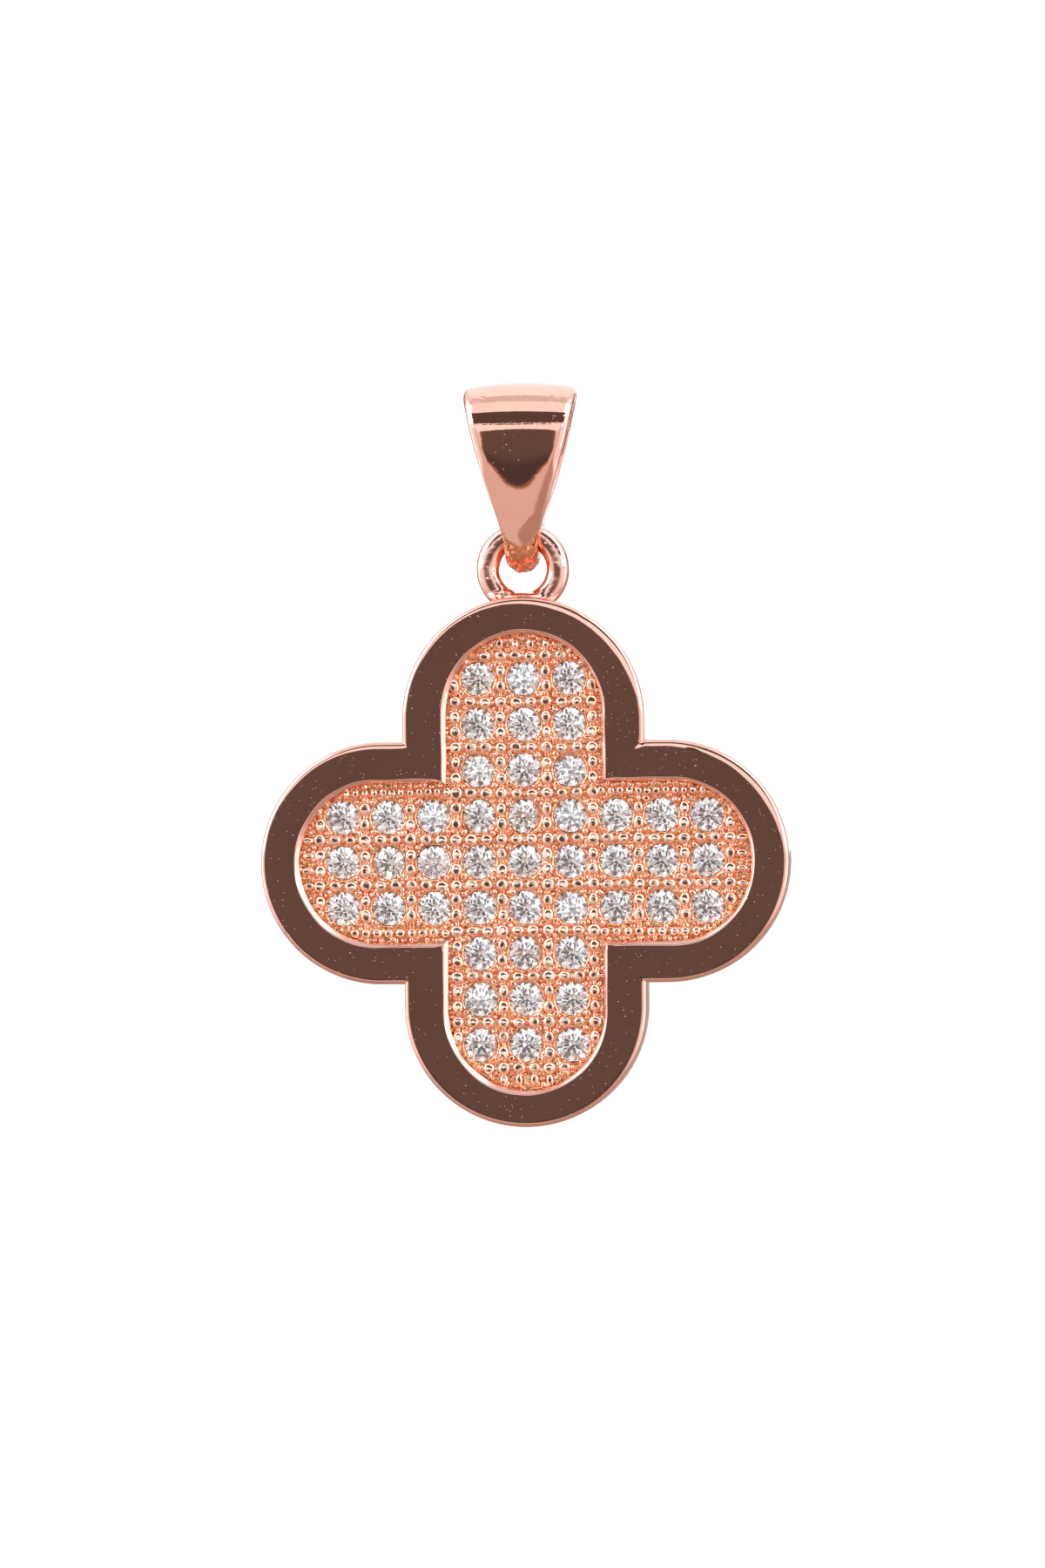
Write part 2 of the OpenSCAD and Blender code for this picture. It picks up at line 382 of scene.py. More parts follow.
def quatrefoil(radius, reach):
    """Outline of two crossed bars with round ends: points with outward normals, anticlockwise."""
    lobe = []
    for k in range(SIDE_STEPS):
        along = blend(radius, reach, k / SIDE_STEPS)
        # In the notch both sides move apart, so its normal is their sum
        lobe.append((Vector((along, -radius)), Vector((0 if k else 1, -1))))
    for k in range(ARC_STEPS):
        angle = math.pi * k / ARC_STEPS
        normal = Vector((math.sin(angle), -math.cos(angle)))
        lobe.append((Vector((reach, 0)) + radius * normal, normal))
    for k in range(SIDE_STEPS):
        lobe.append((Vector((blend(reach, radius, k / SIDE_STEPS), radius)), Vector((0, 1))))
    outline = []
    for quarter in range(4):
        turn = Matrix.Rotation(math.pi / 2 * quarter, 2)
        outline += [(turn @ point, turn @ normal) for point, normal in lobe]
    return outline


# Dents and burrs along the rim's edges: place, radius and depth, from the middle of the clover
NICKS = [
    (-2.0, -7.15, 0.16, 0.05), (-2.3, -6.9, 0.10, 0.04), (2.35, 8.85, 0.20, 0.05), (2.9, 8.5, 0.12, 0.04),
    (4.2, 6.9, 0.12, 0.03), (-4.75, -3.05, 0.12, -0.03), (-7.9, 0.9, 0.22, 0.03), (7.8, -2.4, 0.15, 0.03),
    (-1.2, 8.7, 0.12, 0.012), (3.1, 3.4, 0.14, 0.03), (-8.6, -2.6, 0.14, 0.03), (6.1, 3.9, 0.14, 0.03),
]


def nick_at(x, y):
    depth = 0
    for nick_x, nick_y, radius, deep in NICKS:
        far = ((x - nick_x) ** 2 + (y - nick_y) ** 2) / radius ** 2
        depth += deep * max(0, 1 - far) ** 2
    return depth


def cast_lift(x, y):
    """How far the sunk field's floor lies above its middle height: cast metal is never flat."""
    return 0.014 * ripple(x, y, 0.6, 3.1) + 0.008 * ripple(x, y, 0.22, 5.7)


def ring_at(radius, reach, height, wobble=0.0, wavelength=1.3, seed=0.0, floor=False, spread=None, sink=None):
    """One closed row of points round the clover, wavering sideways by up to WOBBLE. SPREAD gives a
    further shift for each outward normal, and SINK a further drop."""
    ring = []
    for point, normal in quatrefoil(radius, reach):
        shift = wobble * ripple(point.x, point.y, wavelength, seed)
        if spread:
            shift += spread(point, normal)
        x, y = point + shift * normal
        lift = cast_lift(x, y) if floor else -nick_at(x, y)
        if sink:
            lift -= sink(normal)
        ring.append(Vector((x, y, height + lift)))
    return ring


WALL_DRAFT = 0.05
ROLL_R = 0.20
ROLL_START = math.radians(22)
ROLL_DROP = 0.008
ROLL_SINK = 0.018
TURN_STEPS = 10
GROOVE_DEPTH = 0.13
ROLL_ROWS = 5


def worn(normal):
    """How much more the buffing wheel took off: most at the upper right edges."""
    return max(0, 0.8 * normal.x + 0.6 * normal.y)


def roll_spread(point, normal):
    """Width of the soft roll-off beside the outer edge: hand polishing took more off at the sides."""
    uneven = 0.03 * ripple(point.x, point.y, 2.2, 12.0) + 0.03 * worn(normal) * ripple(point.x, point.y, 0.45, 17.0)
    return -(0.07 + 0.10 * normal.x ** 2 + 0.16 * worn(normal) + uneven)


def roll_sink(normal):
    """How much lower the outer edge lies where it is worn."""
    return ROLL_SINK * worn(normal) ** 2


def bevel_spread(point, normal):
    """Where the inner bevel meets the face: hand cut, and a little further in at the sides."""
    return -0.05 - 0.05 * normal.x ** 2 + 0.03 * ripple(point.x, point.y, 1.1, 14.0)


def wall_spread(point, normal):
    """Where the wall meets the bevel, which is widest on the left."""
    return -0.05 - 0.05 * normal.x ** 2 - 0.05 * max(0, -normal.x) + 0.03 * ripple(point.x, point.y, 1.1, 4.0)


LIP_R = 0.71
LIP_STEPS = 36
# The seat's mouth and its straight wall, down to the cone that the stone's point stands in
MOUTH_R = 0.616
SEAT_WALL_R = 0.608
SEAT_WALL_DEPTH = 0.085


def in_arm(a, b, clear):
    return math.hypot(a, max(abs(b) - field_reach, 0)) <= field_r - clear


def in_field(x, y, clear):
    return in_arm(x, y, clear) or in_arm(y, x, clear)


grid_n = math.ceil(clover_size / 2 / PITCH)
stone_sites = [
    (i * PITCH, j * PITCH) for i in range(-grid_n, grid_n + 1) for j in range(-grid_n, grid_n + 1)
    if in_field(i * PITCH, j * PITCH, SEAT_R + SEAT_MARGIN)]


def groove(normal):
    """The graver cut a little deeper along the foot of the right-hand walls."""
    return GROOVE_DEPTH * max(0, normal.x) ** 2


def rim_rings():
    """Rows of points from the foot of the field's wall over the rim and round the edge to the back."""
    rings = [ring_at(field_r - WALL_DRAFT, field_reach, field_h, floor=True, spread=wall_spread, sink=groove)]
    wall_top = rim_h - BEVEL_W
    for share in (0.25, 0.5, 0.75):
        radius = field_r - WALL_DRAFT * (1 - share)
        rings.append(ring_at(radius, field_reach, blend(field_h, wall_top, share), 0.02, 0.5, 2.0 + share,
                             spread=wall_spread))
    for inset, rise in ((-0.004, -0.014), (0.012, 0.004)):
        rings.append(ring_at(field_r + inset, field_reach, wall_top + rise, spread=wall_spread))
    for inset, drop in ((-0.022, 0.018), (-0.004, 0.006), (0.016, 0.001), (0.05, 0)):
        rings.append(ring_at(field_edge_r + inset, field_reach, rim_h - drop, spread=bevel_spread))
    roll_r = LOBE_R - ROLL_R + ROLL_R * math.sin(ROLL_START)
    for share in (0.1, 0.35, 0.6, 0.85):
        radius = blend(field_edge_r + 0.09, roll_r - 0.40, share)
        rings.append(ring_at(radius, blend(field_reach, lobe_reach, share), rim_h))
    for k in range(ROLL_ROWS + 1):
        share = k / ROLL_ROWS
        rings.append(ring_at(roll_r, lobe_reach, rim_h - ROLL_DROP * share ** 2,
                             spread=lambda point, normal: (1 - share) * roll_spread(point, normal),
                             sink=lambda normal: share ** 2 * roll_sink(normal)))
    top = rim_h - ROLL_DROP - ROLL_R * math.cos(ROLL_START)
    for k in range(1, TURN_STEPS + 1):
        angle = blend(ROLL_START, math.pi / 2, k / TURN_STEPS)
        waver = 0.010 * math.cos(angle)
        rings.append(ring_at(LOBE_R - ROLL_R + ROLL_R * math.sin(angle), lobe_reach,
                             top + ROLL_R * math.cos(angle), waver, 1.9, 8.0,
                             sink=lambda normal: math.cos(angle) * roll_sink(normal)))
    for share in (0.25, 0.5, 0.75):
        rings.append(ring_at(LOBE_R, lobe_reach, blend(top, EDGE_R - rim_h, share)))
    flat_r = LOBE_R - EDGE_R
    for k in range(TURN_STEPS + 1):
        angle = math.pi / 2 * (1 - k / TURN_STEPS)
        rings.append(ring_at(flat_r + EDGE_R * math.sin(angle), lobe_reach,
                             -rim_h + EDGE_R * (1 - math.cos(angle))))
    for inset in (0.03, 0.5):
        rings.append(ring_at(flat_r - inset, lobe_reach, -rim_h))
    return rings


def seat_rings(site):
    """Rows of points from the lip round a stone down its drilled seat to the pilot hole."""
    x, y = site
    cone_h = (SEAT_WALL_R - PILOT_R) * math.tan(PAVILION_ANGLE)
    section = [
        (LIP_R, 0), (LIP_R - 0.025, 0.022), (LIP_R - 0.05, 0.036), (SEAT_R + 0.005, 0.032), (MOUTH_R, 0.012),
        (SEAT_WALL_R, -0.02), (SEAT_WALL_R, -SEAT_WALL_DEPTH), (PILOT_R, -SEAT_WALL_DEPTH - cone_h),
        (PILOT_R, -PILOT_DEPTH)]
    rings = []
    for radius, lift in section:
        ring = []
        for k in range(LIP_STEPS):
            angle = 2 * math.pi * k / LIP_STEPS
            px, py = x + radius * math.cos(angle), y + radius * math.sin(angle)
            rough = cast_lift(px, py) if radius == LIP_R else 0.35 * cast_lift(px * 2, py * 2)
            ring.append(Vector((px, py, field_h + lift + (rough if lift > -0.05 else 0))))
        rings.append(ring)
    return rings


FLOOR_STEP = 0.15
FLOOR_CLEAR = 0.26
LIP_CLEAR = 0.07


def add_floor(shape, edge, seats):
    """Triangles of the field's floor between its wall and the lips of the seats."""
    flat = [point.to_2d() for point in edge]
    loops = [list(range(len(edge)))]
    for seat in seats:
        loops.append(list(range(len(flat), len(flat) + LIP_STEPS)))
        flat += [point.to_2d() for point in seat[0]]
    count = math.ceil(clover_size / 2 / FLOOR_STEP)
    for i in range(-count, count + 1):
        for j in range(-count, count + 1):
            x, y = (i + 0.5 * (j % 2)) * FLOOR_STEP, j * FLOOR_STEP * math.sqrt(0.75)
            if not in_field(x, y, WALL_DRAFT + FLOOR_CLEAR):
                continue
            near = (round(x / PITCH) * PITCH, round(y / PITCH) * PITCH)
            if near in seat_lookup and math.hypot(x - near[0], y - near[1]) < LIP_R + LIP_CLEAR:
                continue
            flat.append(Vector((x, y)))
    points, _, faces, *_ = delaunay_2d_cdt(flat, [], loops, 2, 1e-5)
    shape.add([(p.x, p.y, field_h + cast_lift(p.x, p.y)) for p in points], faces, 1)


def add_back(shape, edge):
    """Triangles of the plain flat back, inside the last row of the rim."""
    points, _, faces, *_ = delaunay_2d_cdt([p.to_2d() for p in edge], [], [list(range(len(edge)))], 1, 1e-5)
    shape.add([(p.x, p.y, -rim_h) for p in points], faces, 0)


seat_lookup = set(stone_sites)
WALL_ROWS = 4


def clover_plate():
    """The cast plate: wall, rim, rounded edge, back, the field's floor and its drilled seats."""
    shape = Shape()
    rings = rim_rings()
    seats = [seat_rings(site) for site in stone_sites]
    shape.add_rings(rings[:WALL_ROWS], 1)
    shape.add_rings(rings[WALL_ROWS - 1:], 0)
    add_floor(shape, rings[0], seats)
    add_back(shape, rings[-1])
    for seat in seats:
        shape.add_rings(seat, 1, caps=(False, True))
    shape.stand_up()
    return make_object("clover_plate", shape, [polished, cast_gold], crease=35)


# Relief of the field
GRAIN_SIDES = 12
FLAT_SHARE = 0.42
EDGE_SHARE = 0.80
GRAIN_TILTS = [math.radians(angle) for angle in (0, 14, 30, 46, 62, 76, 90)]
GRAIN_LEAN = 0.14


def add_grain(shape, rng, x, y, half_w, half_l, height, turn, sides=GRAIN_SIDES, top=FLAT_SHARE):
    """A small cast bead with a flat worn top and round flanks, longer one way, standing in the floor."""
    half_w *= rng.uniform(0.92, 1.08)
    half_l *= rng.uniform(0.92, 1.06)
    x += rng.uniform(-0.015, 0.015)
    y += rng.uniform(-0.015, 0.015)
    height *= rng.uniform(0.88, 1.08)
    lean = (rng.uniform(-GRAIN_LEAN, GRAIN_LEAN), rng.uniform(-GRAIN_LEAN, GRAIN_LEAN))
    turn += rng.uniform(-0.10, 0.10)
    flat = top * rng.uniform(0.75, 1.2)
    rows = [(flat + (1 - flat) * math.sin(tilt), 1 - EDGE_SHARE * (1 - math.cos(tilt))) for tilt in GRAIN_TILTS]
    rows.append((1.0, -0.5))
    points = [(x, y, field_h + height * 1.01)]
    for share, rise in rows:
        for k in range(sides):
            angle = 2 * math.pi * k / sides
            a, b = half_l * share * math.cos(angle), half_w * share * math.sin(angle)
            px = a * math.cos(turn) - b * math.sin(turn)
            py = a * math.sin(turn) + b * math.cos(turn)
            lump = 1 + 0.10 * ripple(x + px, y + py, 0.16, 11.0)
            px, py = px * lump, py * lump
            points.append((x + px, y + py, field_h + height * rise + lean[0] * px + lean[1] * py))
    faces = [[0, 1 + k, 1 + (k + 1) % sides] for k in range(sides)]
    for level in range(len(rows) - 1):
        base = 1 + level * sides
        for k in range(sides):
            n = (k + 1) % sides
            faces.append([base + k, base + sides + k, base + sides + n, base + n])
    last = 1 + (len(rows) - 1) * sides
    faces.append([last + k for k in range(sides)])
    shape.add(points, faces)


def clear_of_seats(x, y, gap):
    return all(math.hypot(x - sx, y - sy) >= gap for sx, sy in stone_sites)


GRAIN_HALF_W = 0.215
GRAIN_HALF_L = 0.245
TALL_HALF_L = 0.275
GRAIN_H = 0.22
CROSSING_R = 0.25
END_HALF_W, END_HALF_L, END_H = 0.16, 0.25, 0.23
END_STEP = 0.43
CLAW_R = 0.10
CLAW_OUT = 0.735
CLAW_H = 0.15
CRUMB_STEP = 0.185
WALL_BEAD_R = 0.095
WALL_BEAD_ACROSS = 2.77
# Outer rows of the level arms: beads on each side of a stone's square, above and below
OUTER_HALF_W, OUTER_SHIFT, OUTER_FILL = 0.19, 0.06, 0.46
OUTER_COUNTS = ((1, 5), (-1, 4))


def grain_places():
    """Beads on the lines between the stones' squares, and bars over the ends of the lobes: place,
    half width, half length, height and turn."""
    places = []
    arm_side = 1.5 * PITCH
    count = (grid_n + 1) * BEAD_STEPS
    for i in range(-count, count + 1):
        for j in range(-count, count + 1):
            x, y = (i / BEAD_STEPS + 0.5) * PITCH, (j / BEAD_STEPS + 0.5) * PITCH
            upright, level = i % BEAD_STEPS == 0, j % BEAD_STEPS == 0
            if not (upright or level):
                continue
            if not in_field(x, y, GRAIN_HALF_W + 0.02) or not clear_of_seats(x, y, SEAT_R + GRAIN_HALF_W):
                continue
            # The outer rows of the level arms follow below
            if abs(y) > arm_side - 0.1 and abs(x) > arm_side + 0.1:
                continue
            if upright and level:
                places.append((x, y, CROSSING_R, CROSSING_R, GRAIN_H * 1.05, 0))
            else:
                length = TALL_HALF_L if upright else GRAIN_HALF_L
                places.append((x, y, GRAIN_HALF_W, length, GRAIN_H, math.pi / 2 if upright else 0))
    for above, to_a_stone in OUTER_COUNTS:
        step = PITCH / to_a_stone
        for hand in (1, -1):
            for k in range(1, 4 * to_a_stone):
                x, y = hand * (arm_side + k * step), above * (arm_side + OUTER_SHIFT)
                if in_field(x, y, OUTER_HALF_W):
                    places.append((x, y, OUTER_HALF_W, OUTER_FILL * step, GRAIN_H, 0))
    end = (grid_n - 1.5) * PITCH + END_STEP
    for quarter in range(4):
        turn = math.pi / 2 * quarter
        for k in range(-4, 4):
            across = (k + 0.5) * PITCH / BEAD_STEPS
            x = end * math.cos(turn) - across * math.sin(turn)
            y = end * math.sin(turn) + across * math.cos(turn)
            if in_field(x, y, END_HALF_W):
                places.append((x, y, END_HALF_W, END_HALF_L, END_H, turn))
        for k in range(-30, 30):
            along, side = (abs(k) + 0.5) * PITCH / BEAD_STEPS, math.copysign(WALL_BEAD_ACROSS, k + 0.5)
            if WALL_BEAD_ACROSS + 0.1 < along < field_reach + 0.4:
                x = along * math.cos(turn) - side * math.sin(turn)
                y = along * math.sin(turn) + side * math.cos(turn)
                if in_field(x, y, WALL_BEAD_R):
                    places.append((x, y, WALL_BEAD_R, WALL_BEAD_R * 1.25, END_H * 0.8, turn + math.pi / 2))
    return places


def add_claws(shape, rng):
    """Four small claws round each stone, pressed against its girdle."""
    for sx, sy in stone_sites:
        for quarter in range(4):
            angle = math.pi / 4 + quarter * math.pi / 2 + rng.uniform(-0.14, 0.14)
            out = CLAW_OUT + rng.uniform(-0.03, 0.05)
            size = CLAW_R * rng.uniform(0.8, 1.25)
            x, y = sx + out * math.cos(angle), sy + out * math.sin(angle)
            if in_field(x, y, CLAW_R):
                add_grain(shape, rng, x, y, size, size * 1.25, CLAW_H, angle, 10)


def add_crumbs(shape, rng, places):
    """Small uneven crumbs of cast metal wherever the floor would lie bare between beads and seats."""
    count = math.ceil(clover_size / 2 / CRUMB_STEP)
    for i in range(-count, count + 1):
        for j in range(-count, count + 1):
            x = (i + rng.uniform(-0.35, 0.35)) * CRUMB_STEP
            y = (j + rng.uniform(-0.35, 0.35)) * CRUMB_STEP
            size, height = rng.uniform(0.065, 0.115), rng.uniform(0.05, 0.19)
            if not in_field(x, y, 0.15) or not clear_of_seats(x, y, LIP_R + 0.02):
                continue
            if any(math.hypot(x - p[0], y - p[1]) < p[2] for p in places):
                continue
            add_grain(shape, rng, x, y, size, size * rng.uniform(1, 1.5), height, rng.uniform(0, math.pi), 7, 0.14)


RIDGE_HALF_W = 0.12
RIDGE_H = 0.09
RIDGE_SECTION = [(-1.0, -0.6), (-0.86, 0.35), (-0.45, 0.85), (0, 1), (0.45, 0.85), (0.86, 0.35), (1.0, -0.6)]


def add_ridges(shape):
    """Low cast ridges along the lines between the stones' squares, from wall to wall."""
    step = 0.14
    reach = math.ceil(clover_size / 2 / step)
    for line in range(-grid_n - 1, grid_n + 1):
        across = (line + 0.5) * PITCH
        for upright in (True, False):
            run = []
            for k in range(-reach, reach + 2):
                along = k * step
                inside = k <= reach and in_field(across, along, 0.02)
                if inside:
                    run.append(along)
                    continue
                if len(run) > 3:
                    rings = []
                    for a in run:
                        width = RIDGE_HALF_W * (1 + 0.25 * ripple(across, a, 0.5, 21.0 + upright))
                        height = RIDGE_H * (1 + 0.35 * ripple(across, a, 0.35, 23.0 + upright))
                        shift = across + 0.015 * ripple(across, a, 0.6, 25.0 + upright)
                        ring = []
                        for w, h in RIDGE_SECTION:
                            place = (shift + w * width, a) if upright else (a, shift + w * width)
                            ring.append((*place, field_h + h * height))
                        rings.append(ring)
                    shape.add_rings(rings, 1, caps=(True, True))
                run = []


def field_relief():
    shape = Shape()
    rng = random.Random(7)
    places = grain_places()
    for place in places:
        add_grain(shape, rng, *place)
    add_claws(shape, rng)
    add_crumbs(shape, rng, places)
    add_ridges(shape)
    shape.stand_up()
    return make_object("field_relief", shape, [bead_gold, cast_gold], crease=60, merge=0)


# Stones
LOOSE_STONE = (-2 * PITCH, 0)
LOOSE_TIP, LOOSE_LIFT = 9, 0.04
MAX_TIP = 7
# Painted fire and shade: warm, pink and grey tints laid on single facets of the colourless stones
PAINTED_FIRE_TINTS = [
    (1, 0.98, 0.96), (1, 1, 1), (0.93, 0.92, 0.93), (1, 0.95, 0.88), (0.97, 0.92, 0.94), (0.88, 0.86, 0.86)]


def brilliant():
    """A round brilliant of 57 facets and a faceted girdle, its middle at the origin: points and faces."""
    sides = 8
    half = math.pi / sides
    table_r = STONE_R * TABLE_SHARE
    top = GIRDLE_T / 2
    crown_h = (STONE_R - table_r) * math.tan(CROWN_ANGLE)
    pavilion_h = STONE_R * math.tan(PAVILION_ANGLE)
    star_r = (table_r * math.cos(half) + STONE_R) / 2
    star_z = top + crown_h * (STONE_R - star_r * math.cos(half)) / (STONE_R - table_r)
    main_r = STONE_R * MAIN_SHARE
    main_z = -top - pavilion_h * (1 - main_r * math.cos(half) / STONE_R)

    def circle(count, radius, z, start):
        return [Vector((radius * math.cos(start + 2 * math.pi * k / count),
                        radius * math.sin(start + 2 * math.pi * k / count), z)) for k in range(count)]

    points = circle(sides, table_r, top + crown_h, 0)
    points += circle(sides, star_r, star_z, half)
    points += circle(2 * sides, STONE_R, top, 0)
    points += circle(2 * sides, STONE_R, -top, 0)
    points += circle(sides, main_r, main_z, half)
    points.append(Vector((0, 0, -top - pavilion_h)))
    star, upper = sides, 2 * sides
    lower, main = upper + 2 * sides, upper + 4 * sides
    point = main + sides
    faces = [list(range(sides))]
    for k in range(sides):
        before, after = (k - 1) % sides, (k + 1) % sides
        edge, middle, end = 2 * k, 2 * k + 1, (2 * k + 2) % (2 * sides)
        faces.append([k, star + k, after])
        faces.append([k, star + before, upper + edge, star + k])
        faces.append([star + k, upper + edge, upper + middle])
        faces.append([star + k, upper + middle, upper + end])
        faces.append([upper + edge, lower + edge, lower + middle, upper + middle])
        faces.append([upper + middle, lower + middle, lower + end, upper + end])
        faces.append([main + k, lower + middle, lower + edge])
        faces.append([main + k, lower + end, lower + middle])
        faces.append([point, main + k, lower + edge, main + before])
    return points, faces


def set_stones():
    """All 45 stones, each turned and tipped a little in its own way."""
    shape = Shape()
    rng = random.Random(21)
    points, faces = brilliant()
    for site in stone_sites:
        angle = math.radians(rng.uniform(0, MAX_TIP))
        tip = Matrix.Rotation(angle, 3, Vector((rng.uniform(-1, 1), rng.uniform(-1, 1), 0.01)))
        lift = rng.uniform(-0.01, 0.02)
        if site == LOOSE_STONE:
            tip = Matrix.Rotation(math.radians(LOOSE_TIP), 3, Vector((1, 0.6, 0)))
            lift = LOOSE_LIFT
        turn = Matrix.Rotation(rng.uniform(0, math.pi / 4), 3, "Z")
        middle = Vector((*site, field_h - GIRDLE_SINK + lift))
        shape.add([middle + tip @ turn @ p for p in points], faces)
    shape.stand_up()
    piece = make_object("set_stones", shape, [clear_stone], crease=1, merge=0)
    mesh = piece.data
    mesh.polygons.foreach_set("use_smooth", [False] * len(mesh.polygons))
    # Painted fire and shade, facet by facet
    tints = mesh.color_attributes.new("painted_fire_tint", "FLOAT_COLOR", "CORNER")
    for polygon in mesh.polygons:
        colour = rng.choice(PAINTED_FIRE_TINTS)
        for corner in polygon.loop_indices:
            tints.data[corner].color = (*colour, 1)
    return piece


# Ring
def remeshed(shape, voxel, rounds):
    """Melts overlapping closed forms into one skin and smooths it; returns its points and faces."""
    mesh = bpy.data.meshes.new("melt")
    mesh.from_pydata(shape.points, [], shape.faces)
    work = bpy.data.objects.new("melt", mesh)
    bpy.context.scene.collection.objects.link(work)
    melt = work.modifiers.new("melt", "REMESH")
    melt.mode = "VOXEL"
    melt.voxel_size = voxel
    even = work.modifiers.new("even", "SMOOTH")
    even.factor = 0.5
    even.iterations = rounds
    done = work.evaluated_get(bpy.context.evaluated_depsgraph_get()).to_mesh()
    points = [v.co.copy() for v in done.vertices]
    faces = [list(p.vertices) for p in done.polygons]
    work.to_mesh_clear()
    bpy.data.objects.remove(work)
    bpy.data.meshes.remove(mesh)
    return points, faces


# Solder at the ring's foot: middle and half sizes of each blob, from the top of the clover
SOLDER_BLOBS = [
    ((0, 0, -0.02), (1.15, 0.62, 0.22)), ((-0.62, -0.05, 0.10), (0.42, 0.45, 0.22)),
    ((0.66, -0.02, 0.09), (0.40, 0.42, 0.20)), ((-0.95, -0.15, 0.0), (0.3, 0.42, 0.2)),
]


def add_ball(shape, middle, half):
    """A closed ellipsoid of cast or soldered metal, slightly lumpy."""
    rows, sides = 12, 24
    rings = []
    for i in range(1, rows):
        tilt = math.pi * i / rows
        ring = []
        for k in range(sides):
            angle = 2 * math.pi * k / sides
            out = Vector((math.sin(tilt) * math.cos(angle), math.sin(tilt) * math.sin(angle), math.cos(tilt)))
            lump = 1 + 0.08 * noise.noise(out * 2 + Vector(middle) * 3)
            ring.append(Vector(middle) + Vector([o * h * lump for o, h in zip(out, half)]))
        rings.append(ring)
    shape.add_rings(rings, caps=(True, True))


# The wire is a little squarer than round, so its front is flatter
WIRE_POWER = 2.6


def hanging_ring():
    """The round wire ring and the solder that joins it to the top lobe."""
    shape = Shape()
    around, about = 120, 36
    rings = []
    for i in range(around):
        angle = 2 * math.pi * i / around
        out = Vector((math.cos(angle), 0, math.sin(angle)))
        wire = RING_WIRE_R * (1 - 0.02 + 0.02 * noise.noise(out * 1.5))
        ring = []
        for k in range(about):
            turn = 2 * math.pi * k / about
            across, through = math.cos(turn), math.sin(turn)
            blunt = (abs(across) ** WIRE_POWER + abs(through) ** WIRE_POWER) ** (-1 / WIRE_POWER)
            place = out * (RING_R + wire * across * blunt) + Vector((0, wire * through * blunt, 0))
            ring.append(place + Vector((0, 0, ring_z)))
        rings.append(ring)
    shape.add_rings(rings + [rings[0]])
    clover_top = clover_z + clover_size / 2
    for (x, y, z), half in SOLDER_BLOBS:
        add_ball(shape, (x, y, clover_top + z), half)
    points, faces = remeshed(shape, 0.04, 5)
    skin = Shape()
    skin.add(points, faces)
    return make_object("hanging_ring", skin, [wire_gold], crease=60, merge=0)


# Bail
BEND_TOP_Z = -0.5
OUTER_BEND_R = 9.0
INNER_BEND_R = 8.0
ARC_ROWS, LINE_ROWS, BEND_ROWS, UPRIGHT_ROWS, TOP_ROWS = 40, 24, 34, 8, 30


def leg_side(top_r, bend_r, low_r, low_z):
    """Half of the loop's side view, from the bottom up the front to the top: points and slopes."""
    across, down = bend_r - top_r, BEND_TOP_Z - low_z
    lean = math.atan2(down, across) - math.acos((bend_r - low_r) / math.hypot(across, down))
    path = []

    def arc(middle_y, middle_z, radius, start, end, rows):
        for k in range(rows):
            angle = blend(start, end, k / rows)
            path.append(Vector((middle_y - radius * math.cos(angle), middle_z - radius * math.sin(angle))))

    def line(a, b, rows):
        path.extend(a.lerp(b, k / rows) for k in range(rows))

    arc(0, low_z, low_r, math.pi / 2, lean, ARC_ROWS)
    foot = Vector((-low_r * math.cos(lean), low_z - low_r * math.sin(lean)))
    knee = Vector((across - bend_r * math.cos(lean), BEND_TOP_Z - bend_r * math.sin(lean)))
    line(foot, knee, LINE_ROWS)
    arc(across, BEND_TOP_Z, bend_r, lean, 0, BEND_ROWS)
    line(Vector((-top_r, BEND_TOP_Z)), Vector((-top_r, 0)), UPRIGHT_ROWS)
    arc(0, 0, top_r, 0, -math.pi / 2, TOP_ROWS)
    path.append(Vector((0, top_r)))
    return path


def whole_side(half):
    """The front half of a side view, followed by the back half down to the bottom again."""
    return half + [Vector((-p.x, p.y)) for p in reversed(half[1:-1])]


def width_at(z, y=-1.0):
    """Half width of the bail at a height, with soft changes between the rows of the table. The strip
    is a little narrower at the back, above its soldered end."""
    back = smoothstep(-0.3, 0.8, y / loop_r) * smoothstep(bail_low.z + 1.0, bail_low.z + 2.4, z)
    return front_width_at(z) - BACK_INSET * back


def front_width_at(z):
    share = (z - bail_low.z) / bail_h
    tip = (BAIL_TAPER[0][0] * bail_h - (z - bail_low.z)) / (BAIL_TAPER[0][0] * bail_h)
    if tip > 0:
        return TONGUE_R * (1 - min(tip, 0.97) ** 2.6) ** (1 / 2.6)
    rows = [(0, 0)] + BAIL_TAPER + [(1.2, 1)]
    for k in range(1, len(rows) - 2):
        (s0, w0), (s1, w1), (s2, w2), (s3, w3) = rows[k - 1:k + 3]
        if share <= s2:
            break
    t = min(max((share - s1) / (s2 - s1), 0), 1)
    into = (w2 - w0) / (s2 - s0) * (s2 - s1)
    out = (w3 - w1) / (s3 - s1) * (s2 - s1)
    if s1 == BAIL_TAPER[0][0]:
        into = 0
    full = (2 * t ** 3 - 3 * t ** 2 + 1) * w1 + (t ** 3 - 2 * t ** 2 + t) * into
    full += (3 * t ** 2 - 2 * t ** 3) * w2 + (t ** 3 - t ** 2) * out
    return blend(TONGUE_R, bail_half_w, min(full, 1))


FACE_POINTS, EDGE_POINTS, SIDE_POINTS, INNER_EDGE_POINTS, INNER_POINTS = 17, 7, 2, 4, 9
LEG_TIP_Z = -4.15
LEG_TIP_ROUND = 1.35
BACK_INSET = 0.15
LEG_TIP_DROP = 0.04


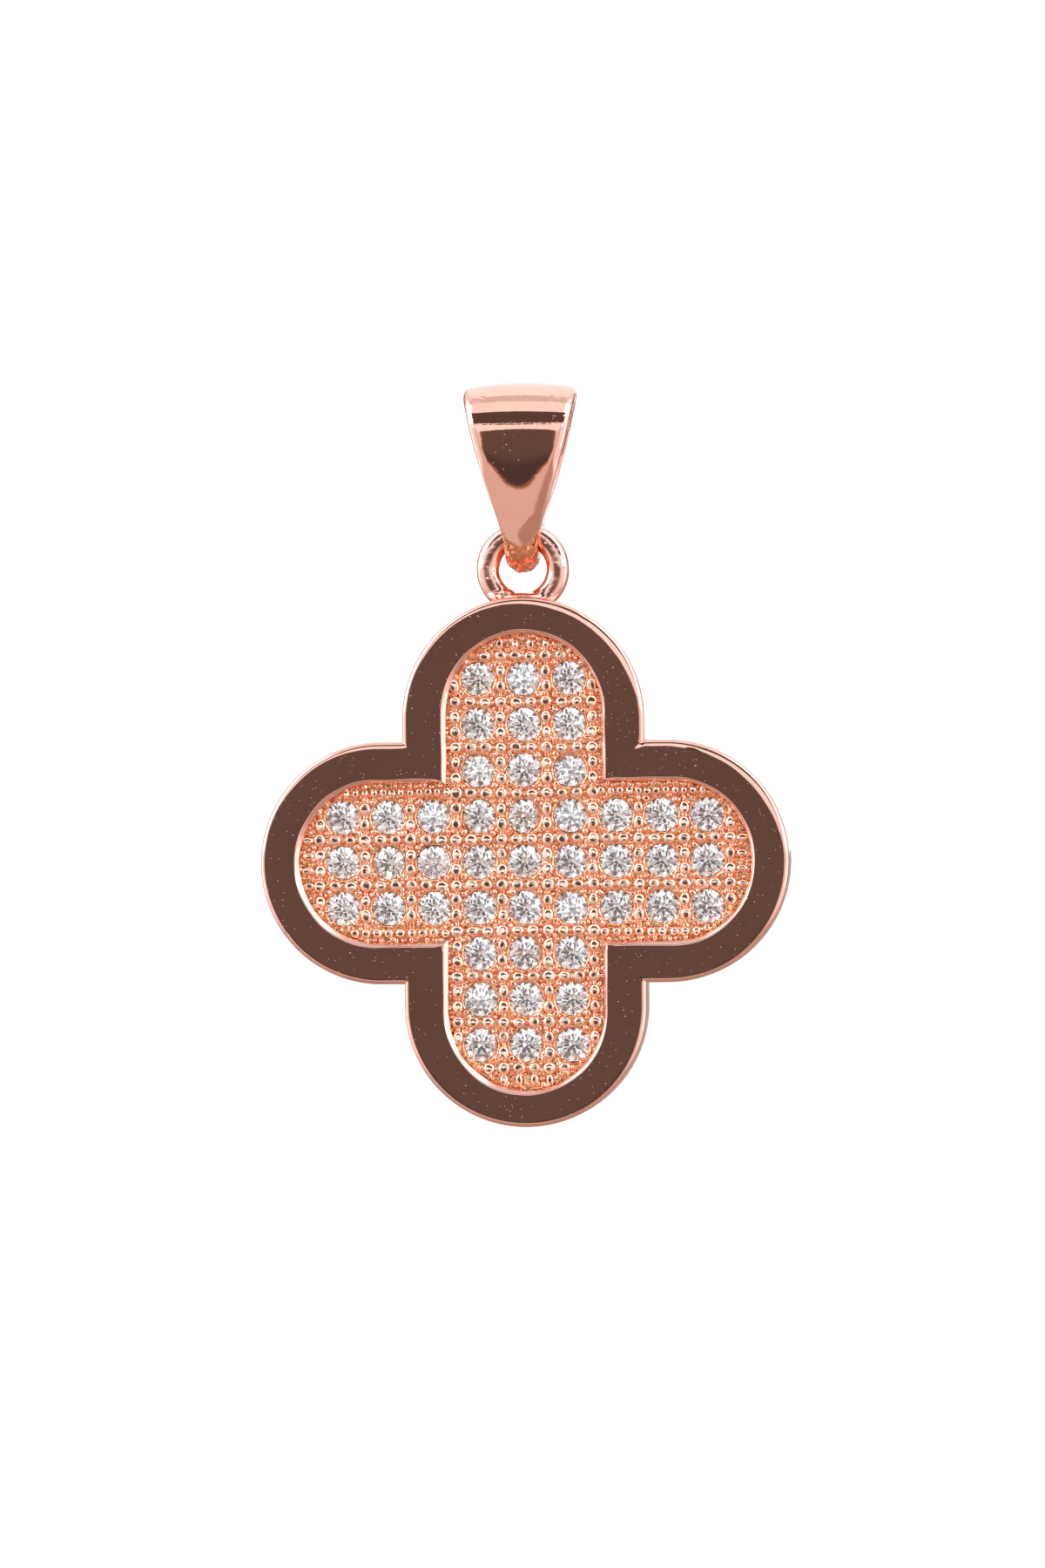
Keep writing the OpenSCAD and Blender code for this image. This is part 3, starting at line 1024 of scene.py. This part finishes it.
def strip_section(outer, inner):
    """Cross section of the strip as (across, through) pairs: ACROSS from -1 to 1 of the half width,
    THROUGH from 0 at the inner to 1 at the outer face."""
    width = width_at(outer.y, outer.x)
    thick = (outer - inner).length
    high = smoothstep(-1.7, -0.9, outer.y)
    melted = smoothstep(-3.9, -4.5, outer.y)
    edge_w = min(blend(0.07, 0.27, high) + 0.15 * melted, 0.34 * width)
    edge_d = blend(0.06, 0.20, high) + 0.15 * melted
    curve = blend(0.085, 0.15, smoothstep(-0.6, -2.0, outer.y))
    inner_w = blend(0.16, 0.06, smoothstep(-4.0, -2.6, inner.y))
    inner_w = min(inner_w, 0.4 * width)
    flat = 1 - edge_w / width

    # The crown's middle drifts to the left towards the tip
    middle = -0.55 * smoothstep(-2.9, -3.9, outer.y)

    def crown(across):
        return 0.5 * curve * (across * width - middle) ** 2 / thick

    section = []
    for k in range(FACE_POINTS):
        across = blend(-flat, flat, k / (FACE_POINTS - 1))
        section.append((across, 1 - crown(across)))
    for k in range(1, EDGE_POINTS + 1):
        angle = math.pi / 2 * k / EDGE_POINTS
        across = flat + (1 - flat) * math.sin(angle)
        section.append((across, 1 - crown(across) - edge_d / thick * (1 - math.cos(angle))))
    side_top, side_low = section[-1][1], inner_w / thick
    for k in range(1, SIDE_POINTS + 1):
        section.append((1, blend(side_top, side_low, k / (SIDE_POINTS + 1))))
    inner_flat = 1 - inner_w / width
    for k in range(INNER_EDGE_POINTS + 1):
        angle = math.pi / 2 * k / INNER_EDGE_POINTS
        section.append((inner_flat + (1 - inner_flat) * math.cos(angle), side_low * (1 - math.sin(angle))))
    for k in range(1, INNER_POINTS - 1):
        section.append((blend(inner_flat, -inner_flat, k / (INNER_POINTS - 1)), 0))
    right = section[FACE_POINTS:-(INNER_POINTS - 2)]
    section += [(-across, through) for across, through in reversed(right)]
    return section


def leg_tip(x):
    """Height at which the polished front leg ends in a round tip above the solder."""
    return LEG_TIP_Z + LEG_TIP_ROUND * x * x


def tongue_rough(x, y, z):
    """How far the soldered end below the front leg's tip lies under the polished face, and its lumps."""
    tip = leg_tip(x) if y < 0.3 else LEG_TIP_Z
    below = smoothstep(tip + 0.02, tip - 0.05, z)
    lumps = 0.08 * noise.noise(Vector((x, y, z)) * 3.2) + 0.04 * noise.noise(Vector((x, y, z)) * 6.5)
    return below * (LEG_TIP_DROP + lumps)


def bail_loop():
    """The tapered strip, bent into a loop: polished outside, with its soldered end under the ring."""
    outers = whole_side(leg_side(loop_r, OUTER_BEND_R, bottom_r, bail_low.z + bottom_r))
    inners = whole_side(leg_side(channel_r, INNER_BEND_R, SLOT_R, bail_low.z + BOTTOM_T + SLOT_R))
    shape = Shape()
    rings = []
    for k, (outer, inner) in enumerate(zip(outers, inners)):
        out = (outer - inner).normalized()
        ring = []
        for across, through in strip_section(outer, inner):
            spot = inner.lerp(outer, through)
            x = across * width_at(spot.y, spot.x)
            if through > 0.2:
                spot -= out * tongue_rough(x, spot.x, spot.y)
            ring.append(Vector((x, spot.x, spot.y)))
        rings.append(ring)
    shape.add_rings(rings + [rings[0]])
    for face, corners in enumerate(shape.faces):
        middle = sum((shape.points[c] for c in corners), Vector()) / len(corners)
        if middle.z < (leg_tip(middle.x) if middle.y < 0.3 else LEG_TIP_Z):
            shape.finishes[face] = 1
    return make_object("bail_loop", shape, [bail_gold, solder_gold], crease=40)


# Light
CAMERA_AZIMUTH = 5
OPENING = (0.142, 0.119, 0.112)
OPENING_LOW = (0.084, 0.074, 0.076)
OPENING_EDGE = (0.42, 0.22, 0.13)
OPENING_UP, OPENING_DOWN, OPENING_SIDE = 5.5, 17.5, 15.5
GAP_ABOVE = (0.12, 0.095, 0.09)
# The front, top and back of the tent, from below upwards: pitch from the horizontal in front, the
# degrees over which the light changes there, and its new colour
PITCH_BANDS = [
    (-50, 12, (0.66, 0.60, 0.58)),
    (-33, 4, (0.84, 0.77, 0.73)),
    (2, 6, (1.22, 1.36, 1.45)),
    (16, 2, GAP_ABOVE),
    (46.5, 2.5, (1.25, 1.38, 1.46)),
    (73.5, 2.5, (0.86, 0.92, 1.0)),
    (92, 3, (1.5, 1.5, 1.62)),
]
FLOOR_LIGHT = (0.50, 0.42, 0.38)
CARD_LIGHT = (0.55, 0.41, 0.34)
CARD_SLANT, CARD_EDGE = -0.52, -22.3
NEAR_CLOTH = (0.80, 0.76, 0.76)
SIDE_CLOTH = (1.22, 1.20, 1.30)
STRONG_LIGHT = (3.6, 3.5, 3.9)
# Degrees that it reaches further down far to the side, and its share there
STRONG_DOWN, STRONG_SHARE = 18.0, 0.4
HIGH_CLOTH = (1.25, 1.28, 1.34)
BACKDROP = (1.6, 1.55, 1.6)
SIDE_GAP = (0.30, 0.23, 0.21)
SIDE_FLOOR = (0.60, 0.50, 0.47)
GATHERED_GAIN = 1.2


def studio_light():
    """A light tent: bright sides, a dark opening in front where the camera stands, and a dark gap
    above it. What the camera sees past the object is plain white."""
    world = bpy.data.worlds.new("tent")
    bpy.context.scene.world = world
    nodes = Nodes(world)
    seen = nodes.add("ShaderNodeTexCoord").outputs["Generated"]
    turned = nodes.add("ShaderNodeVectorRotate", {"Vector": seen, "Axis": (0, 0, 1),
                                                   "Angle": math.radians(CAMERA_AZIMUTH)}).outputs[0]
    parts = nodes.add("ShaderNodeSeparateXYZ", {"Vector": turned})
    x, y, z = parts.outputs
    degree = math.pi / 180
    ahead = nodes.times(y, -1.0)
    azimuth = nodes.math("DIVIDE", nodes.math("ARCTAN2", x, ahead), degree)
    pitch = nodes.math("DIVIDE", nodes.math("ARCTAN2", z, ahead), degree)
    height = nodes.math("DIVIDE", nodes.math("ARCSINE", z), degree)
    sideways = nodes.math("DIVIDE", nodes.math("ARCSINE", nodes.math("ABSOLUTE", x)), degree)
    aside = nodes.math("ABSOLUTE", azimuth)

    front = FLOOR_LIGHT
    for edge, soft, colour in PITCH_BANDS:
        front = nodes.mix(nodes.step(edge - soft / 2, edge + soft / 2, pitch), front, colour)
    # A dimmer card low in front, whose edge runs aslant
    aslant = nodes.math("MULTIPLY_ADD", pitch, CARD_SLANT, CARD_EDGE)
    card = nodes.step(0, 2.5, nodes.math("ADD", azimuth, aslant))
    card = nodes.times(card, nodes.between(pitch, (-60, -50), (-8, -11)))
    front = nodes.mix(card, front, CARD_LIGHT)

    # Sides, by direction: white cloth with a strong light high on either side, which far to the side
    # also reaches lower and is weaker there, a dark gap behind them and the white backdrop
    side = nodes.mix(nodes.step(24, 40, aside), NEAR_CLOTH, SIDE_CLOTH)
    lowest = nodes.math("MULTIPLY_ADD", nodes.step(66, 74, aside), STRONG_DOWN, height)
    share = nodes.math("MULTIPLY_ADD", nodes.step(2, 6, height), 1 - STRONG_SHARE, STRONG_SHARE)
    strong = nodes.times(nodes.between(aside, (28, 40), (100, 88)), nodes.step(2, 6, lowest), share)
    gap = nodes.times(nodes.between(aside, (121, 125), (160, 152)), nodes.step(40, 15, height))
    side = nodes.mix(nodes.step(150, 158, aside), side, BACKDROP)
    side = nodes.mix(strong, side, STRONG_LIGHT)
    side = nodes.mix(nodes.step(50, 62, height), side, HIGH_CLOTH)
    side = nodes.mix(gap, side, SIDE_GAP)
    side = nodes.mix(nodes.step(-16, -38, height), side, SIDE_FLOOR)
    light = nodes.mix(nodes.step(17, 29, sideways), front, side)

    # The gap above the opening reaches on round the sides, further on the right
    gap = nodes.times(nodes.between(pitch, (15, 17), (47.7, 45.2)), nodes.step(54, 42, sideways))
    light = nodes.mix(nodes.times(gap, nodes.step(-0.60, -0.42, x)), light, GAP_ABOVE)

    # The opening: an oval that reaches lower than it does high, darker low down
    reach = 0.0
    for way, limit in ((nodes.math("MAXIMUM", height, 0.0), OPENING_UP),
                       (nodes.math("MINIMUM", height, 0.0), OPENING_DOWN), (azimuth, OPENING_SIDE)):
        reach = nodes.math("ADD", reach, nodes.math("POWER", nodes.math("DIVIDE", way, limit), 2.0))
    dark = nodes.mix(nodes.step(-2, -9, height), OPENING, OPENING_LOW)
    rim_light = nodes.mix(nodes.step(1.16, 1.04, reach), light, OPENING_EDGE)
    light = nodes.mix(nodes.step(1.04, 0.86, reach), rim_light, dark)

    # What the stones gather is brighter, as small spotlights stood round the tent
    path = nodes.add("ShaderNodeLightPath").outputs
    gathered = nodes.add("ShaderNodeVectorMath", {0: light, "Scale": GATHERED_GAIN}, operation="SCALE").outputs[0]
    light = nodes.mix(nodes.math("GREATER_THAN", path["Transmission Depth"], 0.5), light, gathered)
    light = nodes.mix(path["Is Camera Ray"], light, (1.0, 1.0, 1.0))
    shader = nodes.add("ShaderNodeBackground", {"Color": light})
    nodes.add("ShaderNodeOutputWorld", {"Surface": shader.outputs[0]})


def stage():
    """A white floor that curves up into a white backdrop; it takes no part in the reflections."""
    shape = Shape()
    floor_z, half_w, front_y, wall_y, curve_r, top_z = -45, 600, -500, 320, 120, 500
    side = [(front_y, floor_z)]
    for k in range(25):
        angle = math.pi / 2 * k / 24
        side.append((wall_y - curve_r + curve_r * math.sin(angle), floor_z + curve_r * (1 - math.cos(angle))))
    side.append((wall_y, top_z))
    shape.add_rings([[(-half_w, y, z), (half_w, y, z)] for y, z in side], closed=False)
    material = bpy.data.materials.new("white_paper")
    nodes = Nodes(material)
    glow = nodes.add("ShaderNodeBsdfPrincipled", {
        "Base Color": (0.35, 0.35, 0.35, 1), "Roughness": 0.9,
        "Emission Color": (1, 1, 1, 1), "Emission Strength": 0.8})
    nodes.finish(glow)
    sweep = make_object("sweep", shape, [material])
    sweep.visible_glossy = False
    sweep.visible_diffuse = False
    sweep.visible_transmission = False
    sweep.visible_shadow = False


# Camera: the photograph's angle, a little to one side and level with the object's middle
CAMERA_FAR = 300
CAMERA_ROLL = -0.57
FRAME_H = 56.25
AIM = (-0.10, 0, -12.62)


def camera():
    data = bpy.data.cameras.new("camera")
    data.sensor_width = 36
    data.lens = CAMERA_FAR * data.sensor_width / FRAME_H
    data.clip_start = 0.001
    eye = bpy.data.objects.new("camera", data)
    bpy.context.scene.collection.objects.link(eye)
    bearing = math.radians(CAMERA_AZIMUTH)
    aim = Vector(AIM)
    place = aim + CAMERA_FAR * Vector((math.sin(bearing), -math.cos(bearing), 0))
    look = (aim - place).to_track_quat("-Z", "Y")
    roll = Quaternion((0, 0, 1), math.radians(CAMERA_ROLL))
    eye.location = place * MM
    eye.rotation_euler = (look @ roll).to_euler()
    bpy.context.scene.camera = eye


camera()
studio_light()
stage()
bpy.context.scene.view_settings.view_transform = "Standard"

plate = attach(clover_plate(), "clover")
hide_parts("clover")
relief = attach(field_relief(), "clover")
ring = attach(hanging_ring(), "clover")
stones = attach(set_stones(), "clover")
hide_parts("stones")
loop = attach(bail_loop(), "bail")
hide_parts("bail")
